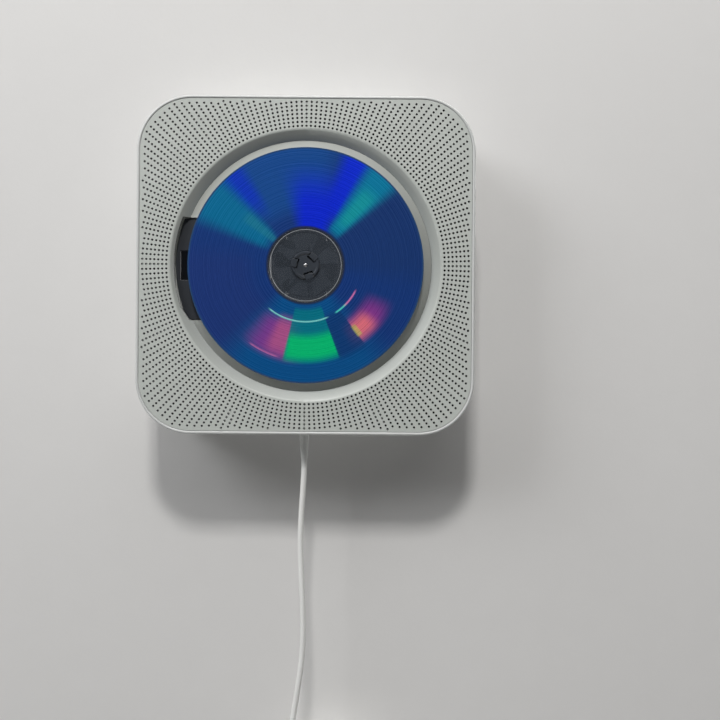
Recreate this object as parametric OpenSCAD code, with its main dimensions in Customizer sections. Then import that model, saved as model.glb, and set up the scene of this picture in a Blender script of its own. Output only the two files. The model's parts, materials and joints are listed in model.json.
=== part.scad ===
// Wall mounted disc player: a square case with a perforated front, an open disc well,
// a geared pickup mechanism and a pull switch worked by its lead.
// +X right, +Z up, -Y out from the wall. The origin is on the wall, between the bracket's two screws.

/* [Body] */
// Width of the case
body_w = 172; // [170:1:200]
// Height of the case
body_h = 172; // [170:1:200]
// Distance from the wall to the front face
body_d = 41; // [41:1:52]
// Radius of the case's corners
corner_r = 28; // [24:1:30]
// Thickness of the case wall, seen as the rim round the front
wall_t = 1.5; // [1.2:0.1:1.8]
// Radius on the case's front edge
edge_r = 0.8; // [0.4:0.1:1]

/* [Front panel] */
// Thickness of the front panel
panel_t = 1.6; // [1.2:0.1:2]
// Gap between the case rim and the front panel
seam = 0.25; // [0.15:0.05:0.4]
// Diameter of a sound hole
hole_d = 1.15; // [0.8:0.05:1.2]
// Sound holes in one full ring
rays = 200; // [160:20:200]
// Distance from one ring of sound holes to the next
ring_pitch = 2.03; // [1.9:0.01:3]
// Plain margin between the sound holes' centres and the panel's edge
hole_margin = 1.3; // [1:0.1:4]
// Depth of the skirt behind the panel's edge
skirt_h = 5; // [4:0.5:5.5]

/* [Disc well] */
// Radius of the well's flat floor
floor_r = 64.3; // [63:0.1:65.5]
// Width of the lip between the floor and the perforated face
lip_run = 5.3; // [4.5:0.1:6]
// Depth of the well's floor below the front face
well_depth = 3.9; // [3.4:0.1:4.4]
// Radius of the lip's shoulder
shoulder_r = 2; // [1:0.5:2.5]
// Thickness of the well's floor
floor_t = 1.6; // [1.2:0.1:2]

/* [Disc] */
// Diameter of the disc
disc_d = 120; // [116:1:122]
// Thickness of the disc
disc_t = 1.2; // [1:0.1:1.4]
// Diameter of the disc's centre hole
disc_bore_d = 15; // [14:0.5:16]
// Clearance between the disc's hole and the boss
boss_gap = 0.3; // [0.2:0.05:0.4]
// Height of the disc above the well's floor
disc_lift = 2.1; // [1.8:0.1:2.4]
// Diameter of the turntable
turntable_d = 33; // [30:1:34]
// How far a hub claw pushes in
claw_travel = 0.6; // [0.4:0.1:0.8]

/* [Mechanism] */
// Distance from the lip's outer edge to the rounded left end of the deck
deck_margin = 2.4; // [2:0.1:3]
// Distance from the disc's axis to the deck's right edge
deck_right = 26; // [24:1:30]
// Distance from the disc's axis to the deck's top edge
deck_up = 24.4; // [24:0.1:26]
// Distance from the disc's axis to the deck's bottom edge
deck_down = 28.2; // [28:0.1:30]
// Gap round the deck
deck_gap = 0.3; // [0.2:0.05:0.4]
// Distance from the disc's axis to the lens at the inner track
track_in = 24; // [24:0.5:26]
// Distance from the disc's axis to the lens at the outer track
track_out = 58; // [54:0.5:58]
// Diameter of the guide rods
rod_d = 3; // [2.4:0.2:3.4]
// Module of the sled's gears
gear_m = 0.6; // [0.55:0.01:0.6]
// Teeth of the motor's pinion
pinion_teeth = 10; // [9:1:10]
// Teeth of the large gear, which the pinion turns
large_teeth = 34; // [30:1:34]
// Teeth of the small gear, which moves the rack
small_teeth = 12; // [12:1:14]

/* [Buttons] */
// Length of a button
button_l = 9; // [7:0.5:11]
// Width of a button
button_w = 5; // [4:0.5:6]
// Distance between buttons
button_pitch = 15; // [13:0.5:15]
// How far a button stands proud
button_proud = 0.6; // [0.4:0.1:1]
// How far a button presses in
button_travel = 0.8; // [0.6:0.1:0.9]
// Gap round a button
button_gap = 0.25; // [0.2:0.05:0.4]

/* [Wall bracket] */
// Width of the bracket
bracket_w = 64; // [56:1:70]
// Thickness of the bracket
bracket_t = 1.6; // [1.2:0.1:2]
// Distance between the two wall screws
screw_pitch = 40; // [32:1:44]
// Diameter of the wall screw holes
screw_hole_d = 4.5; // [3.5:0.5:5.5]
// Distance between the hooks
hook_pitch = 44; // [40:1:48]
// Width of a hook
hook_w = 10; // [8:0.5:12]
// How far the player lifts to clear the hooks
lift = 12; // [10:0.5:12]

/* [Speakers] */
// Clearance of a speaker from the disc well and from the case's corner
speaker_gap = 1.5; // [1:0.1:3]

/* [Lead] */
// Diameter of the lead
cord_d = 3; // [2.4:0.1:3]
// Place of the lead across the body
cord_x = -1; // [-4:0.5:4]
// How far the pull switch travels
pull_travel = 6; // [4:0.5:6]
// Outer radius of the coiled lead, on its centre line
coil_r = 23.5; // [23.5:0.5:26]
// Turns of the coil
coil_turns = 15; // [11:4:19]
// Distance between neighbouring turns of the coil
coil_pitch = 3.5; // [3.5:0.1:3.7]

/* [Hidden] */

// clearances
slide_gap = 0.3;
shaft_gap = 0.05;
seat_gap = 0.1;
over = 1;

// depths, as distances from the wall
rear_z = 0.6;
rear_t = 2;
case_z = rear_z + rear_t;
panel_z = body_d - panel_t;
floor_z = body_d - well_depth;
floor_back = floor_z - floor_t;
disc_z = floor_z + disc_lift;
disc_front = disc_z + disc_t;

// front panel
panel_w = body_w - 2 * (wall_t + seam);
panel_h = body_h - 2 * (wall_t + seam);
panel_r = corner_r - wall_t - seam;
skirt_t = 1.2;
skirt_z = panel_z - skirt_h;
rib_t = 1.2;
rib_h = 3;
ledge_t = 1.2;
ledge_w = 1.5;
slice_rays = 5;
lip_r = floor_r + lip_run;
ring_first = lip_r + hole_d / 2 + 0.4;
rings = ceil((norm([panel_w, panel_h]) / 2 - lip_r) / ring_pitch);
lip_fall = well_depth - shoulder_r;
lip_slope = atan(lip_fall / lip_run) + asin(shoulder_r / norm([lip_run, lip_fall]));

// headphone socket
jack_x = -24;
jack_r = 1.8;
jack_nose_r = 3.9;
jack_depth = 15;

// case screws and the bosses they go into
boss_d = 7;
boss_top = [body_w / 2 - 30, body_h / 2 - 14];
boss_bottom = [jack_nose_r - jack_x + boss_d / 2 + 6.6, body_h / 2 - 9];
bosses = [
    [boss_top[0], boss_top[1]], [-boss_top[0], boss_top[1]],
    [boss_bottom[0], -boss_bottom[1]], [-boss_bottom[0], -boss_bottom[1]]
];
rib_angles = concat([0, 26, 90, 154, 180, 205, 270, 335], [for (p = bosses) atan2(p[1], p[0])]);
case_screw_d = 3;
case_screw_l = 13;
case_head_d = 6;
case_head_h = 2;
head_z = case_z + 0.6;
boss_z = case_z + 7.4;

// disc well
flange_r = lip_r + 2.4;
flange_z = floor_z - 3.7;
flange_t = floor_z - panel_t / cos(lip_slope) - seat_gap - flange_z;
well_wall_t = 0.9;
annulus_r = disc_d / 2;

// turntable and spindle
boss_r = disc_bore_d / 2 - boss_gap;
boss_h = 0.5;
turntable_t = 2;
turntable_z = disc_z - turntable_t;
neck_r = 5;
shaft_r = 1;
claw_w = 4.4;
claw_in = 4.5;
claw_tip = boss_r + 0.2;
claw_angles = [48, 168, 288];
notch_w = claw_w + 2 * slide_gap;

// deck and chassis
deck_r = lip_r - deck_margin;
deck_drop = 0.8;
deck_t = 1.6;
deck_z = floor_z - deck_drop - deck_t;
chamfer_x = 3.9;
chamfer_y = 5.9;
turntable_hole_r = turntable_d / 2 + 2;
lens_slot_w = 15;
lens_slot_end = deck_r - deck_gap - 2.4;
chassis_left = track_out + 14;
chassis_right = deck_right + 1;
chassis_up = deck_up + 2.6;
chassis_down = deck_down + 9.8;
chassis_wall = 1.6;
chassis_top = flange_z - slide_gap;
chassis_h = 14.1;
chassis_z = chassis_top - chassis_h;
chassis_floor = 2;
chassis_in = chassis_z + chassis_floor;
deck_posts = [[-58, 21], [20, 21], [-58, -24.5], [20, -24.5]];
deck_post_d = 6;
lug = 12;
lug_t = 1.6;
lug_z = chassis_top - 5.4;
lug_hole_d = 8;
damper_x = [-45, 18];
damper_y = [chassis_up + lug / 2, -chassis_down - lug / 2];
damper_h = 4.2;
damper_z = lug_z + lug_t / 2 - damper_h / 2;
damper_pin_d = 4;
damper_post_d = 8;
damper_r = 5.5;
damper_rim = 1.2;

// gears and sled
rod_z = chassis_in + 5;
rod_y = 12;
rod_end = 10;
block_w = 8;
block_t = 4.5;
sled_z = rod_z - 2.7;
sled_h = 6.2;
sled_y = 17;
sled_in = 13;
sled_out = 3;
tower_x = 5.5;
tower_y = 6;
tower_z = turntable_z - 1.2;
small_r = gear_m * small_teeth / 2;
large_r = gear_m * large_teeth / 2;
pinion_r = gear_m * pinion_teeth / 2;
rack_y = -sled_y - 2.6;
rack_h = 2.7;
gear_x = -32;
gear_y = rack_y - small_r;
gear_pin_r = 1.5;
gear_z = chassis_in + 0.3;
gear_t = 1.2;
motor_x = gear_x + large_r + pinion_r;
rack_from = gear_x + track_in - 1.5;
rack_to = gear_x + track_out + 1.5;
lens_r = 3;
lens_h = 0.6;
dome_r = 4;

// motors
motor_h = 10;
spindle_motor_r = 12;
sled_motor_r = 8;

// speakers: as large as the corners leave room for
corner_x = body_w / 2 - corner_r;
corner_y = body_h / 2 - corner_r;
corner_reach = norm([corner_x, corner_y]) + panel_r - skirt_t;
speaker_r = (corner_reach - flange_r) / 2 - speaker_gap;
speaker_out = (flange_r + speaker_gap + speaker_r) / norm([corner_x, corner_y]);
speaker_centres = [for (side = [-1, 1]) speaker_out * [side * corner_x, -corner_y]];
speaker_h = 0.775 * speaker_r;
speaker_neck_r = 0.25 * speaker_r;
speaker_back_r = 0.62 * speaker_r;
speaker_t = 0.8;
surround_w = 1.4;
magnet_r = 0.56 * speaker_r;
magnet_h = 0.44 * speaker_r;

// boards
board_t = 1.6;
board_z = boss_z;
board_left = chassis_right + 5;
board_right = body_w / 2 - 8;
board_low = -body_h / 2 + 48;
board_high = body_h / 2 - 44;
board_h = board_high - board_low;
board_edge = 4;
board_holes = [for (x = [board_left + board_edge, board_right - board_edge])
    for (y = [board_low + board_edge, board_high - board_edge]) [x, y]];

// buttons
button_xs = [for (i = [0 : 5]) (i - 2.5) * button_pitch];
button_z = 14;
case_top = body_h / 2;
wall_in = case_top - wall_t;
flange_h = 1.1;
flange_lap = 1;
stem_r = 1.5;
stem_h = 1.7;
switch_w = 6;
switch_top = wall_in - seat_gap - flange_h - button_travel - slide_gap;
switch_h = 4.1;
switch_well = 1.6;
shelf_y = switch_top - switch_h - board_t;
shelf_half = button_xs[5] + 8.5;
shelf_w = 10;
shelf_rib_w = 2;
shelf_rib_h = 4;

// wall bracket
bracket_down = 16;
bracket_up = 24;
bracket_r = 4;
neck_y = 10;
neck_h = 3;
tongue_h = lift;
recess_t = 2;
recess_z = bracket_t + slide_gap;
recess_gap = 2;
tongue_z = recess_z + recess_t + slide_gap;
tongue_t = 1.6;

// pull switch
case_bottom = -body_h / 2;
plunger_y = case_bottom + 16;
plunger_h = 8;
plunger_r = 4.5;
sense_y = plunger_y + 4;
sense_r = 1;
relief_r = 2.4;
relief_end_r = cord_d / 2 + 0.25;
relief_y = case_bottom - 14;
relief_taper = 11;
bushing_r = 3.8;
bushing_flange_r = 5;
bushing_flange_h = 1.5;
guide_w = 16;
guide_t = 12.4;
guide_roof = 2;
guide_head = seat_gap;
spring_wire = 0.7;
spring_r = 3.9;
spring_turns = 6;
cord_z = flange_z - 2 * slide_gap - guide_t / 2;
jack_z = cord_z - 6.6;

// lead: route of the hanging part, across and up, then the coil and the plug
cord_route = [
    [-1, -100], [-1, -106], [-1.4, -115], [-2, -125], [-2.5, -137], [-2.5, -148],
    [-2, -160], [-1.3, -175], [-0.9, -190], [-1.2, -202], [-2.8, -216], [-4.6, -228],
    [-6.4, -240], [-7.6, -251], [-8, -260], [-8, -265]
];
hang_sides = 8;
coil_sides = 6;
coil_steps = 24;
coil_layers = 4;
straight = cord_d;
coil_start = cord_route[len(cord_route) - 1];
coil_x = coil_start[0] + coil_r;
coil_y = coil_start[1] - straight;
layer_turns = coil_turns / coil_layers;
coil_back_z = cord_z - (coil_layers - 1) * coil_pitch;
tie_t = 1;
tie_w = 6;
tie_gap = 0.4;
plug_y = coil_y - straight;
plug_taper = 11;
plug_l = 16;
plug_r = 4.5;
barrel_r = 2.75;
barrel_bore_r = 1.05;
barrel_l = 9.5;

// turns a shape drawn across, up and out of the wall into the body's axes
module room() {
    rotate([90, 0, 0]) children();
}

// turns a shape drawn in plan, growing up the body
module upright() {
    rotate([-90, 0, 0]) children();
}

function in_rounded(x, y, w, h, r) =
    let (u = abs(x) - w / 2 + r, v = abs(y) - h / 2 + r)
    (u > 0 && v > 0) ? norm([u, v]) - r : max(u, v) - r;

module rounded(w, h, r) {
    square([w - 2 * r, h], center = true);
    square([w, h - 2 * r], center = true);
    for (x = [-1, 1], y = [-1, 1])
        translate([x * (w / 2 - r), y * (h / 2 - r)]) circle(r = r, $fn = 96);
}

module stadium(l, w) {
    square([l - w, w], center = true);
    for (x = [-1, 1]) translate([x * (l - w) / 2, 0]) circle(d = w, $fn = 48);
}

module tube(outer_r, inner_r, h) {
    difference() {
        cylinder(r = outer_r, h = h, $fn = 64);
        translate([0, 0, -over]) cylinder(r = inner_r, h = h + 2 * over, $fn = 64);
    }
}

// one wall's section, with its front edge rounded
module edge_section(half, t, f) {
    square([half, t - f]);
    square([half - f, t]);
    translate([half - f, t - f]) circle(r = f, $fn = 32);
}

// a rounded square slab whose front edge is rounded all round
module slab(w, h, r, t, f) {
    for (s = [0, 1]) {
        mirror([s, 0, 0]) rotate([90, 0, 0])
            linear_extrude(h - 2 * r, center = true) edge_section(w / 2, t, f);
        mirror([0, s, 0]) rotate([90, 0, 90])
            linear_extrude(w - 2 * r, center = true) edge_section(h / 2, t, f);
    }
    for (x = [0, 1], y = [0, 1])
        mirror([x, 0, 0]) mirror([0, y, 0]) translate([w / 2 - r, h / 2 - r])
            rotate_extrude(angle = 90, $fn = 96) edge_section(r, t, f);
}

// wall side

module wall_bracket() {
    color("gainsboro") room() {
        difference() {
            translate([0, (bracket_up - bracket_down) / 2]) linear_extrude(bracket_t)
                rounded(bracket_w, bracket_up + bracket_down, bracket_r);
            for (s = [-1, 1]) translate([s * screw_pitch / 2, 0, -over])
                cylinder(d = screw_hole_d, h = bracket_t + 2 * over, $fn = 48);
        }
        for (s = [-1, 1]) translate([s * hook_pitch / 2 - hook_w / 2, neck_y]) {
            cube([hook_w, neck_h, tongue_z + tongue_t]);
            translate([0, 0, tongue_z]) cube([hook_w, tongue_h, tongue_t]);
        }
    }
}

module recess_block(grow, z) {
    w = bracket_w + 2 * (recess_gap + grow);
    low = bracket_down + lift + recess_gap + grow;
    high = bracket_up + recess_gap + grow;
    translate([-w / 2, -low, z[0]]) cube([w, low + high, z[1] - z[0]]);
}

module rear_cover() {
    inner = wall_t + seat_gap;
    color("whitesmoke") room() difference() {
        union() {
            translate([0, 0, rear_z]) linear_extrude(rear_t) rounded(body_w, body_h, corner_r);
            translate([0, 0, case_z]) linear_extrude(4) difference() {
                rounded(body_w - 2 * inner, body_h - 2 * inner, corner_r - inner);
                rounded(body_w - 2 * inner - 2.4, body_h - 2 * inner - 2.4, corner_r - inner - 1.2);
            }
            recess_block(recess_t, [rear_z, recess_z + recess_t]);
            for (p = bosses) translate([p[0], p[1], rear_z])
                cylinder(d = boss_d + 1.6, h = boss_z - rear_z - seat_gap / 2, $fn = 48);
            for (p = board_holes) translate([p[0], p[1], rear_z])
                cylinder(d = 6, h = board_z - rear_z, $fn = 48);
            for (s = [-1, 1]) translate([s * (shelf_half - 5) - shelf_rib_w / 2, shelf_y - shelf_rib_h, rear_z])
                cube([shelf_rib_w, shelf_rib_h, button_z + shelf_w / 2 - rear_z]);
        }
        recess_block(0, [0, recess_z]);
        for (s = [-1, 1]) translate([s * hook_pitch / 2 - hook_w / 2 - 0.5, neck_y + neck_h + seat_gap, 0])
            mirror([0, 1, 0]) cube([hook_w + 1, tongue_h + 4, recess_z + recess_t + over]);
        for (p = bosses) translate([p[0], p[1], 0]) {
            cylinder(d = case_screw_d + 0.4, h = boss_z + over, $fn = 48);
            cylinder(d = case_head_d + 0.6, h = head_z, $fn = 48);
        }
        for (p = board_holes) translate([p[0], p[1], board_z - 6])
            cylinder(d = 2.2, h = 7, $fn = 48);
        for (row = [0, 1], i = [-3 : 3]) translate([i * 9 - 1.5, -54 - row * 20, 0])
            cube([3, 14, case_z + over]);
    }
}

module rear_pads() {
    color("dimgray") room() for (x = [-1, 1], y = [-1, 1])
        translate([x * (body_w / 2 - 14), y * (body_h / 2 - 40)]) cylinder(d = 10, h = rear_z, $fn = 48);
}

module case_screws() {
    color("silver") room() for (p = bosses) translate([p[0], p[1], head_z]) {
        mirror([0, 0, 1]) cylinder(d = case_head_d, h = case_head_h, $fn = 48);
        cylinder(d = case_screw_d, h = case_screw_l, $fn = 48);
    }
}

// case and front

module case_shell() {
    inner_w = body_w - 2 * wall_t;
    inner_h = body_h - 2 * wall_t;
    inner_r = corner_r - wall_t;
    color("whitesmoke") room() difference() {
        union() {
            difference() {
                translate([0, 0, case_z]) slab(body_w, body_h, corner_r, body_d - case_z, edge_r);
                linear_extrude(body_d + over) rounded(inner_w, inner_h, inner_r);
            }
            translate([0, 0, skirt_z - ledge_t]) linear_extrude(ledge_t) difference() {
                rounded(inner_w, inner_h, inner_r);
                rounded(inner_w - 2 * ledge_w, inner_h - 2 * ledge_w, inner_r - ledge_w);
            }
        }
        for (x = button_xs) translate([x, wall_in - over, button_z]) upright()
            linear_extrude(wall_t + 2 * over) stadium(button_l + 2 * button_gap, button_w + 2 * button_gap);
        translate([cord_x, case_bottom - over, cord_z]) upright()
            cylinder(r = bushing_r, h = wall_t + 2 * over, $fn = 64);
        translate([jack_x, case_bottom - over, jack_z]) upright()
            cylinder(r = jack_nose_r + seat_gap, h = wall_t + 2 * over, $fn = 64);
    }
}

// the deck's outline, grown or shrunk all round
module deck_outline(grow) {
    intersection() {
        translate([-deck_r - over, -deck_down - grow])
            square([deck_r + over + deck_right + grow, deck_up + deck_down + 2 * grow]);
        circle(r = deck_r + grow, $fn = 128);
        polygon([
            [-deck_r - over, deck_up + over], [-deck_r - over, -deck_down + chamfer_y - grow],
            [-deck_r + chamfer_x, -deck_down + chamfer_y - grow],
            [-deck_r + 2 * chamfer_x, -deck_down - grow], [-deck_r + 2 * chamfer_x, -deck_down - over],
            [deck_right + over, -deck_down - over], [deck_right + over, deck_up + over]
        ]);
    }
}

// the lip's section below its surface, at a depth of inset
module lip_region(inset) {
    r = shoulder_r - inset;
    touch = [lip_r - r * sin(lip_slope), body_d - shoulder_r + r * cos(lip_slope)];
    polygon([
        [floor_r, floor_z - 3 * panel_t], [floor_r, floor_z - inset / cos(lip_slope)], touch,
        [lip_r, body_d - shoulder_r], [lip_r, floor_z - 3 * panel_t]
    ]);
    intersection() {
        translate([lip_r, body_d - shoulder_r]) circle(r = r, $fn = 64);
        translate([lip_r - shoulder_r, body_d - shoulder_r]) square(shoulder_r);
    }
}

module sound_holes(slice) {
    for (k = [0 : rings], i = [0 : slice_rays - 1]) {
        r = ring_first + k * ring_pitch;
        a = (slice * slice_rays + i) * 360 / rays;
        if (in_rounded(r * cos(a), r * sin(a), panel_w, panel_h, panel_r) < -hole_margin)
            translate([r * cos(a), r * sin(a)]) circle(d = hole_d, $fn = 13);
    }
}

// the perforated face between two rays' mid lines
module face_slice(slice) {
    from = (slice - 0.5 / slice_rays) * slice_rays * 360 / rays;
    to = from + slice_rays * 360 / rays;
    reach = body_w + body_h;
    difference() {
        intersection() {
            rounded(panel_w, panel_h, panel_r);
            polygon([[0, 0], reach * [cos(from), sin(from)], reach * [cos(to), sin(to)]]);
        }
        circle(r = lip_r, $fn = 128);
        sound_holes(slice);
    }
}

module front_grille() {
    color("gainsboro") room() for (slice = [0 : rays / slice_rays - 1])
        translate([0, 0, panel_z]) linear_extrude(panel_t) face_slice(slice);
}

// the frame that carries the grille: lip, skirt, screw bosses and the ribs that join them
module front_frame() {
    color("whitesmoke") room() difference() {
        union() {
            rotate_extrude($fn = 128) difference() {
                lip_region(0);
                lip_region(panel_t);
            }
            translate([0, 0, skirt_z]) linear_extrude(skirt_h) difference() {
                rounded(panel_w, panel_h, panel_r);
                rounded(panel_w - 2 * skirt_t, panel_h - 2 * skirt_t, panel_r - skirt_t);
            }
            translate([0, 0, panel_z - rib_h]) linear_extrude(rib_h) intersection() {
                rounded(panel_w - skirt_t, panel_h - skirt_t, panel_r - skirt_t / 2);
                for (a = rib_angles) rotate(a) translate([lip_r - 2, -rib_t / 2])
                    square([body_w / 2, rib_t]);
            }
            for (p = bosses) translate([p[0], p[1], boss_z]) cylinder(d = boss_d, h = panel_z - boss_z, $fn = 48);
        }
        linear_extrude(body_d + over) deck_outline(0);
        for (p = bosses) translate([p[0], p[1], boss_z - over])
            cylinder(d = case_screw_d + 0.2, h = case_screw_l + 4, $fn = 48);
    }
}

// a post ends inside the floor, or inside the flange where it stands under that
function post_top(x, y) =
    norm([x, y]) + damper_post_d / 2 > annulus_r ? flange_z + flange_t / 2 : floor_back + floor_t / 2;

module disc_well() {
    color("gainsboro") room() {
        difference() {
            rotate_extrude($fn = 128) polygon([
                [0, floor_back], [annulus_r, floor_back], [annulus_r, flange_z], [flange_r, flange_z],
                [flange_r, panel_z - rib_h], [flange_r - well_wall_t, panel_z - rib_h],
                [flange_r - well_wall_t, flange_z + flange_t], [floor_r - seat_gap, flange_z + flange_t],
                [floor_r - seat_gap, floor_z], [0, floor_z]
            ]);
            linear_extrude(body_d) deck_outline(0);
        }
        for (x = damper_x, y = damper_y) translate([x, y]) {
            translate([0, 0, damper_z + damper_h])
                cylinder(d = damper_post_d, h = post_top(x, y) - damper_z - damper_h, $fn = 48);
            translate([0, 0, damper_z - slide_gap])
                cylinder(d = damper_pin_d, h = floor_back - damper_z, $fn = 48);
        }
    }
}

// disc drive

module deck_cover() {
    color("#26292d") room() translate([0, 0, deck_z]) linear_extrude(deck_t) difference() {
        deck_outline(-deck_gap);
        circle(r = turntable_hole_r, $fn = 96);
        translate([-lens_slot_end, -lens_slot_w / 2]) square([lens_slot_end, lens_slot_w]);
    }
}

module mechanism_chassis() {
    w = chassis_left + chassis_right;
    h = chassis_up + chassis_down;
    color("#1f2225") room() difference() {
        union() {
            difference() {
                translate([-chassis_left, -chassis_down, chassis_z]) cube([w, h, chassis_h]);
                translate([-chassis_left + chassis_wall, -chassis_down + chassis_wall, chassis_in])
                    cube([w - 2 * chassis_wall, h - 2 * chassis_wall, chassis_h]);
            }
            for (p = deck_posts) translate([p[0], p[1], chassis_z])
                cylinder(d = deck_post_d, h = deck_z - chassis_z, $fn = 48);
            for (s = [-1, 1]) translate([rod_end - block_t, s * rod_y - block_w / 2, chassis_z])
                cube([block_t, block_w, rod_z + 3.5 - chassis_z]);
            for (x = damper_x) {
                translate([x - lug / 2, chassis_up - chassis_wall, lug_z]) cube([lug, lug + chassis_wall, lug_t]);
                translate([x - lug / 2, -chassis_down - lug, lug_z]) cube([lug, lug + chassis_wall, lug_t]);
            }
            translate([gear_x, gear_y, chassis_z])
                cylinder(r = gear_pin_r, h = sled_z + rack_h + 1.6 - chassis_z, $fn = 48);
        }
        translate([0, 0, chassis_z - over]) cylinder(r = 3, h = chassis_floor + 2 * over, $fn = 48);
        translate([motor_x, gear_y, chassis_z - over]) cylinder(r = 2, h = chassis_floor + 2 * over, $fn = 48);
        for (x = damper_x, y = damper_y) translate([x, y, lug_z - over])
            cylinder(d = lug_hole_d, h = lug_t + 2 * over, $fn = 48);
        for (s = [-1, 1]) translate([-chassis_left - over, s * rod_y, rod_z]) rotate([0, 90, 0])
            cylinder(d = rod_d + 0.04, h = chassis_left + rod_end + 2 * over, $fn = 48);
    }
}

module chassis_dampers() {
    groove_r = lug_hole_d / 2 - seat_gap;
    color("#3a3a3a") room() for (x = damper_x, y = damper_y) translate([x, y, damper_z])
        rotate_extrude($fn = 48) polygon([
            [damper_pin_d / 2 + shaft_gap, 0], [damper_r, 0], [damper_r, damper_rim], [groove_r, damper_rim],
            [groove_r, damper_h - damper_rim], [damper_r, damper_h - damper_rim], [damper_r, damper_h],
            [damper_pin_d / 2 + shaft_gap, damper_h]
        ]);
}

module guide_rods() {
    color("silver") room() for (s = [-1, 1]) translate([-chassis_left, s * rod_y, rod_z])
        rotate([0, 90, 0]) cylinder(d = rod_d, h = chassis_left + rod_end, $fn = 48);
}

module motor_can(r, bore_r) {
    translate([0, 0, chassis_z - motor_h]) rotate_extrude($fn = 64) polygon([
        [bore_r, 0], [r / 3, 0], [r / 3, 1], [r - 0.8, 1], [r, 1.8], [r, motor_h], [bore_r, motor_h]
    ]);
}

module spindle_motor() {
    color("silver") room() motor_can(spindle_motor_r, shaft_r + shaft_gap);
}

module spindle_shaft() {
    color("lightgray") room() translate([0, 0, chassis_z - motor_h + 1])
        cylinder(r = shaft_r, h = disc_front - chassis_z + motor_h - 1, $fn = 48);
}

module turntable() {
    top = disc_front + boss_h;
    color("#22262b") room() difference() {
        rotate_extrude($fn = 96) polygon([
            [shaft_r + 0.02, chassis_in + 2], [neck_r, chassis_in + 2], [neck_r, turntable_z],
            [turntable_d / 2, turntable_z], [turntable_d / 2, disc_z], [boss_r, disc_z],
            [boss_r, top - 0.5], [boss_r - 0.5, top], [boss_r - 1.3, top], [boss_r - 1.7, top - 0.4],
            [shaft_r + 0.02, top - 0.4]
        ]);
        for (a = claw_angles) rotate(a) translate([claw_in - claw_travel - slide_gap, -notch_w / 2, disc_z])
            cube([boss_r, notch_w, disc_t + boss_h + over]);
    }
}

module hub_claw(a) {
    color("#2c3036") room() rotate(a) translate([0, 0, disc_z + seat_gap]) intersection() {
        translate([claw_in, -claw_w / 2]) cube([claw_tip, claw_w, disc_t + boss_h - 0.5]);
        cylinder(r = claw_tip, h = disc_t + boss_h, $fn = 64);
    }
}

module hub_claw_a() hub_claw(claw_angles[0]);
module hub_claw_b() hub_claw(claw_angles[1]);
module hub_claw_c() hub_claw(claw_angles[2]);

module disc() {
    ring = [17.8, 18.5];
    color("royalblue") room() rotate_extrude($fn = 180) {
        translate([disc_bore_d / 2, disc_z]) square([(disc_d - disc_bore_d) / 2, disc_t]);
        translate([ring[0], disc_z - 0.2]) square([ring[1] - ring[0], 0.4]);
    }
}

// a gear's outline: teeth with straight flanks, tooth centred at the given angle
module gear_outline(teeth, at) {
    step = 360 / teeth;
    pitch_r = gear_m * teeth / 2;
    root = pitch_r - 1.2 * gear_m;
    tip = pitch_r + 0.85 * gear_m;
    polygon([
        for (i = [0 : teeth - 1], p = [[root, -0.33], [pitch_r, -0.215], [tip, -0.1], [tip, 0.1], [pitch_r, 0.215], [root, 0.33]])
            p[0] * [cos(at + (i + p[1]) * step), sin(at + (i + p[1]) * step)]
    ]);
}

module sled_motor() {
    color("silver") room() translate([motor_x, gear_y]) motor_can(sled_motor_r, 0.8 + shaft_gap);
}

module motor_pinion() {
    color("ivory") room() translate([motor_x, gear_y]) {
        translate([0, 0, gear_z]) linear_extrude(gear_t) gear_outline(pinion_teeth, 180 + 180 / pinion_teeth);
        translate([0, 0, chassis_z - motor_h + 2]) cylinder(r = 0.8, h = gear_z - chassis_z + motor_h - 2, $fn = 48);
    }
}

module sled_gear() {
    small_z = gear_z + gear_t;
    color("ivory") room() translate([gear_x, gear_y]) difference() {
        union() {
            translate([0, 0, gear_z]) linear_extrude(gear_t) gear_outline(large_teeth, 0);
            translate([0, 0, small_z]) linear_extrude(sled_z + rack_h + 1 - small_z)
                gear_outline(small_teeth, 90);
        }
        translate([0, 0, gear_z - over])
            cylinder(r = gear_pin_r + shaft_gap, h = sled_z + rack_h + 3 * over - gear_z, $fn = 48);
    }
}

module rack_outline() {
    pitch = PI * gear_m;
    first = ceil(rack_from / pitch);
    last = floor((rack_to - pitch) / pitch);
    tip = rack_y - 0.85 * gear_m;
    root = rack_y + 1.2 * gear_m;
    shift = gear_x + track_in;
    translate([rack_from, root]) square([rack_to - rack_from, -sled_y - root]);
    for (i = [first : last]) translate([shift - round(shift / pitch) * pitch + (i + 0.5) * pitch, 0])
        polygon([[-0.33 * pitch, root], [-0.1 * pitch, tip], [0.1 * pitch, tip], [0.33 * pitch, root]]);
}

module pickup_sled() {
    color("#2a2d31") room() translate([-track_in, 0]) difference() {
        union() {
            translate([-sled_out, -sled_y, sled_z]) cube([sled_in + sled_out, 2 * sled_y, sled_h]);
            translate([-tower_x, -tower_y, sled_z]) cube([2 * tower_x, 2 * tower_y, tower_z - sled_z]);
        }
        for (s = [-1, 1]) translate([-sled_out - 2 * over, s * rod_y, rod_z]) rotate([0, 90, 0])
            cylinder(r = rod_d / 2 + shaft_gap, h = sled_in + sled_out + 4 * over, $fn = 48);
    }
}

module pickup_rack() {
    color("ivory") room() translate([-track_in, 0, sled_z]) linear_extrude(rack_h) rack_outline();
}

module pickup_lens() {
    color("lightsteelblue") room() translate([-track_in, 0, tower_z]) {
        cylinder(r = lens_r, h = lens_h, $fn = 48);
        intersection() {
            translate([0, 0, lens_h + 1 - dome_r]) sphere(r = dome_r, $fn = 48);
            translate([-lens_r, -lens_r, lens_h / 2]) cube([2 * lens_r, 2 * lens_r, 3]);
        }
    }
}

// sound and boards

module on_speakers() {
    for (c = speaker_centres) translate([c[0], c[1], panel_z - speaker_h]) children();
}

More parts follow.
